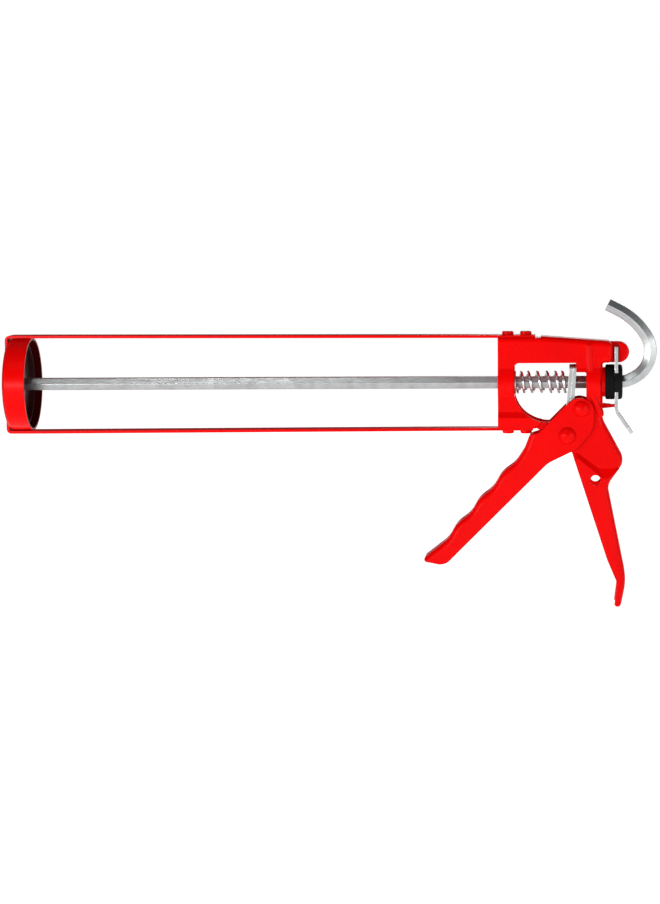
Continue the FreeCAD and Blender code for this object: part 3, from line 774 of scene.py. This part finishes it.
@dataclass
class Plunger:
    """Hexagonal push rod with its hook and thread, disc, washer and nut."""

    flats: float = 6.5 * MM
    corner_rounding: float = 0.55 * MM
    rod_start: float = 8.6 * MM
    hook_start: float = 329.5 * MM
    hook_arcs: tuple[tuple[float, float], ...] = ((20.0, 30.0), (15.8, 90.0), (36.0, 33.0))
    hook_tail: float = 6.2 * MM
    end_chamfer: float = 0.5 * MM
    straight_step: float = 10.0 * MM
    arc_step: float = 3.0
    thread_start: float = 3.0 * MM
    thread_radius: float = 2.5 * MM
    thread_pitch: float = 0.8 * MM
    thread_depth: float = 0.42 * MM
    thread_turns: int = 7
    plated: tuple[str, ...] = ("disc_nut",)
    shade_darkened: tuple[str, ...] = ("plunger_disc", "disc_washer")
    nodes: tuple[str, ...] = ("plunger_rod", "rod_hook")

    def path(self) -> tuple[list[Vector], list[float]]:
        """Centre line of the rod and the width of its section along it.

        Returns:
            The points, and the relative width at each.
        """
        points = [Vector((self.rod_start, 0, 0)),
                  Vector((self.rod_start + self.end_chamfer, 0, 0))]
        count = round((self.hook_start - self.rod_start) / self.straight_step)
        for step in range(1, count + 1):
            share = step / count
            x = self.rod_start + (self.hook_start - self.rod_start) * share
            points.append(Vector((x, 0, 0)))
        here = points[-1]
        heading = 0.0
        for radius_mm, turn in self.hook_arcs:
            radius = radius_mm * MM
            centre = here + Vector((-math.sin(heading), 0, math.cos(heading))) * radius
            steps = round(turn / self.arc_step)
            for step in range(1, steps + 1):
                angle = heading + math.radians(turn) * step / steps
                points.append(centre + Vector((math.sin(angle), 0, -math.cos(angle))) * radius)
            here = points[-1]
            heading += math.radians(turn)
        way = Vector((math.cos(heading), 0, math.sin(heading)))
        points.append(here + way * (self.hook_tail - self.end_chamfer))
        points.append(here + way * self.hook_tail)
        narrow = 1 - 2 * self.end_chamfer / self.flats
        widths = [narrow] + [1.0] * (len(points) - 2) + [narrow]
        return points, widths

    def make_rod(self, shop: Workshop) -> bpy.types.Object:
        """Sweep the rounded hexagon along the rod's line.

        Args:
            shop: the shared shader groups.

        Returns:
            The rod.
        """
        points, widths = self.path()
        source = poly_curve("rod_line", points, widths)
        rod = run_tree("push_rod", source, sweep_tree("hexagon_sweep", 6, 5),
                       {"Radius": self.flats / math.sqrt(3),
                        "Corner radius": self.corner_rounding,
                        "Material": ZINC_BAR.material(shop)})
        return even_normals(rod, 32.0)

    def make_thread(self, stamped: bpy.types.Material) -> bpy.types.Object:
        """Turn the rod's threaded end.

        Args:
            stamped: the zinc plate of small parts.

        Returns:
            The threaded end.
        """
        crest = self.thread_radius - 0.05 * MM
        root = self.thread_radius - self.thread_depth
        outline = [(self.thread_start, 0.1 * MM), (self.thread_start, root - 0.2 * MM)]
        x = self.thread_start + 0.2 * MM
        for _ in range(self.thread_turns - 1):
            outline += [(x, root), (x + self.thread_pitch * 0.45, crest),
                        (x + self.thread_pitch * 0.55, crest)]
            x += self.thread_pitch
        end = self.rod_start + 0.2 * MM
        outline += [(x, root), (end, root), (end, 0.1 * MM)]
        thread = turned_piece("rod_thread", outline, 48)
        thread.data.materials.append(stamped)
        return even_normals(thread, 25.0)

    def build(self, shop: Workshop, stamped: bpy.types.Material) -> None:
        """Make the rod and dress the plunger.

        Args:
            shop: the shared shader groups.
            stamped: the zinc plate of small parts.
        """
        dress(self.plated, stamped)
        # disc and washer carry painted shade of the cup's inside
        dress(self.shade_darkened, DISC_STEEL.material(shop))
        join_frame(self.make_rod(shop), Body.PLUNGER, Slot.ZINC, *self.nodes)
        join_frame(self.make_thread(stamped), Body.PLUNGER, Slot.ZINC)


@dataclass
class Release:
    """Release lever, its moulded boss and the rubber buffer."""

    bore: float = 4.6 * MM
    rim_rounding: float = 0.9 * MM
    bore_rounding: float = 0.3 * MM
    node: str = "buffer_pad"
    joint: str = "release_hinge"
    kept_thickness: float = 0.57

    def build(self, shop: Workshop, stamped: bpy.types.Material) -> None:
        """Make the buffer and dress the lever.

        Args:
            shop: the shared shader groups.
            stamped: the zinc plate of small parts.
        """
        dress(("release_lever",), stamped)
        dress(("lever_boss",), MOULDED_BLACK.material(shop))
        low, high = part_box(self.node)
        outline = rounded_outline([
            (low.x, self.bore, self.bore_rounding), (low.x, high.z, self.rim_rounding),
            (high.x, high.z, self.bore_rounding), (high.x, self.bore, self.bore_rounding)])
        pad = turned_piece("rubber_buffer", outline)
        pad.data.materials.append(BLACK_RUBBER.material(shop))
        pad = even_normals(pad, 40.0)
        join_frame(pad, Body.FRAME, Slot.BLACK_RUBBER, self.node)
        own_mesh(pad)


# ---- studio ---------------------------------------------------------------------------------
@dataclass(frozen=True)
class SoftBox:
    """One soft light, which the camera doesn't see."""

    name: str
    place: tuple[float, float, float]
    aim: tuple[float, float, float]
    width: float
    height: float
    power: float
    colour: tuple[float, float, float] = (1.0, 1.0, 1.0)

    def build(self) -> None:
        """Put the light into the scene."""
        data = bpy.data.lights.new(self.name, "AREA")
        data.shape = "RECTANGLE"
        data.size = self.width
        data.size_y = self.height
        data.energy = self.power
        data.color = self.colour
        lamp = add_object(self.name, data)
        lamp.visible_camera = False
        way = Vector(self.aim) - Vector(self.place)
        lamp.matrix_world = Matrix.Translation(self.place) @ way.to_track_quat(
            "-Z", "Y").to_matrix().to_4x4()


@dataclass
class Studio:
    """Plain pale floor, soft light and the camera."""

    azimuth: float = 5.4
    elevation: float = 5.5
    roll: float = 0.6
    distance: float = 1.435
    target: tuple[float, float, float] = (0.1757, 0.0, -0.0374)
    lens: float = 105.9
    floor_drop: float = 0.5 * MM
    floor_half: float = 6.0
    boxes: tuple[SoftBox, ...] = field(default_factory=lambda: (
        SoftBox("key_light", (-0.85, -0.95, 0.02), (0.20, 0.0, -0.03), 0.50, 0.22, 6.2),
        SoftBox("side_light", (1.25, -0.95, 0.15), (0.17, 0.0, -0.03), 0.8, 0.5, 4.5),
        SoftBox("rear_light", (0.6, 1.2, 0.5), (0.17, 0.0, -0.03), 0.9, 0.6, 5.0),
        SoftBox("low_strip", (0.12, -0.22, -0.115), (0.15, 0.0, -0.02), 0.55, 0.06, 0.10),
        SoftBox("cup_light", (-0.26, -1.2, 0.03), (0.01, 0.0, 0.0), 0.12, 0.10, 3.0),
        SoftBox("high_light", (0.0, -0.6, 0.75), (0.05, 0.0, 0.0), 0.25, 0.25, 0.7)))

    def make_floor(self) -> None:
        """Flat pale floor just under the grip."""
        level = CAD_BOX[0][2] - self.floor_drop
        half = self.floor_half
        mesh = bpy.data.meshes.new("floor")
        mesh.from_pydata([(-half, -half, level), (half, -half, level), (half, half, level),
                          (-half, half, level)], [], [(0, 1, 2, 3)])
        floor = add_object("floor", mesh)
        made = bpy.data.materials.new("pale_floor")
        made.use_nodes = True
        made.node_tree.nodes.clear()
        graph = Graph(made.node_tree)
        place = graph.add("ShaderNodeTexCoord").outputs["Object"]
        shade = graph.ramp(graph.noise(place, 3.0), 0.3, 0.7, 0.40, 0.43)
        tone = graph.add("ShaderNodeCombineColor", {0: shade, 1: shade, 2: shade})
        surface = graph.add("ShaderNodeBsdfPrincipled", {
            "Base Color": tone.outputs[0], "Roughness": 0.8, "Specular IOR Level": 0.1,
            "Emission Color": (1.0, 1.0, 1.0, 1.0), "Emission Strength": 0.95})
        graph.add("ShaderNodeOutputMaterial", {"Surface": surface.outputs[0]})
        mesh.materials.append(made)

    def make_sky(self) -> None:
        """Pale surroundings that are darker overhead, in front and behind."""
        world = bpy.data.worlds.new("studio_surround")
        world.use_nodes = True
        world.node_tree.nodes.clear()
        graph = Graph(world.node_tree)
        way = graph.add("ShaderNodeTexCoord").outputs["Generated"]
        split = graph.add("ShaderNodeSeparateXYZ", {0: way})
        overhead = graph.ramp(split.outputs[2], 0.10, 0.75)
        front = graph.ramp(split.outputs[1], -0.55, -0.90)
        back = graph.ramp(split.outputs[1], 0.55, 0.90)
        tone = graph.mix_colour(overhead, (1.0, 1.0, 1.0, 1.0), (0.26, 0.28, 0.30, 1.0))
        tone = graph.mix_colour(front, tone, (0.16, 0.16, 0.17, 1.0))
        tone = graph.mix_colour(back, tone, (0.20, 0.20, 0.21, 1.0))
        sky = graph.add("ShaderNodeBackground", {"Color": tone, "Strength": 0.36})
        plain = graph.add("ShaderNodeBackground", {"Color": (1.0, 1.0, 1.0, 1.0),
                                                   "Strength": 1.0})
        seen = graph.add("ShaderNodeLightPath").outputs["Is Camera Ray"]
        both = graph.add("ShaderNodeMixShader", {0: seen, 1: sky.outputs[0],
                                                 2: plain.outputs[0]})
        graph.add("ShaderNodeOutputWorld", {"Surface": both.outputs[0]})
        bpy.context.scene.world = world

    def make_camera(self) -> None:
        """Long-lens camera, a little above and to the right of square-on."""
        turn = math.radians(self.azimuth)
        rise = math.radians(self.elevation)
        lean = math.radians(self.roll)
        right = Vector((math.cos(turn), math.sin(turn), 0))
        back = Vector((math.sin(turn) * math.cos(rise), -math.cos(turn) * math.cos(rise),
                       math.sin(rise)))
        up = back.cross(right)
        leaned_right = right * math.cos(lean) - up * math.sin(lean)
        leaned_up = right * math.sin(lean) + up * math.cos(lean)
        place = Vector(self.target) + back * self.distance
        axes = Matrix((leaned_right, leaned_up, back)).transposed().to_4x4()
        data = bpy.data.cameras.new("studio_camera")
        data.lens = self.lens
        data.sensor_width = 36.0
        data.clip_end = 50.0
        camera = add_object("studio_camera", data)
        camera.matrix_world = Matrix.Translation(place) @ axes
        bpy.context.scene.camera = camera

    def build(self) -> None:
        """Set up floor, surroundings, lights and camera."""
        self.make_floor()
        self.make_sky()
        for box in self.boxes:
            box.build()
        self.make_camera()
        bpy.context.scene.view_settings.view_transform = "Standard"
        LOG.info("studio: %d soft lights", len(self.boxes))


def main() -> None:
    """Build every sub-assembly in order."""
    logging.basicConfig(level=logging.INFO, format="%(message)s")
    Studio().build()
    shop = Workshop()
    enamel = ENAMEL.material(shop)
    stamped = ZINC_STAMPED.material(shop)
    Cradle().build(shop, enamel)
    Handle().build(enamel, stamped)
    Drive().build(shop, stamped)
    Plunger().build(shop, stamped)
    Release().build(shop, stamped)
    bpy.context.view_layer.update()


if __name__ == "__main__":
    main()
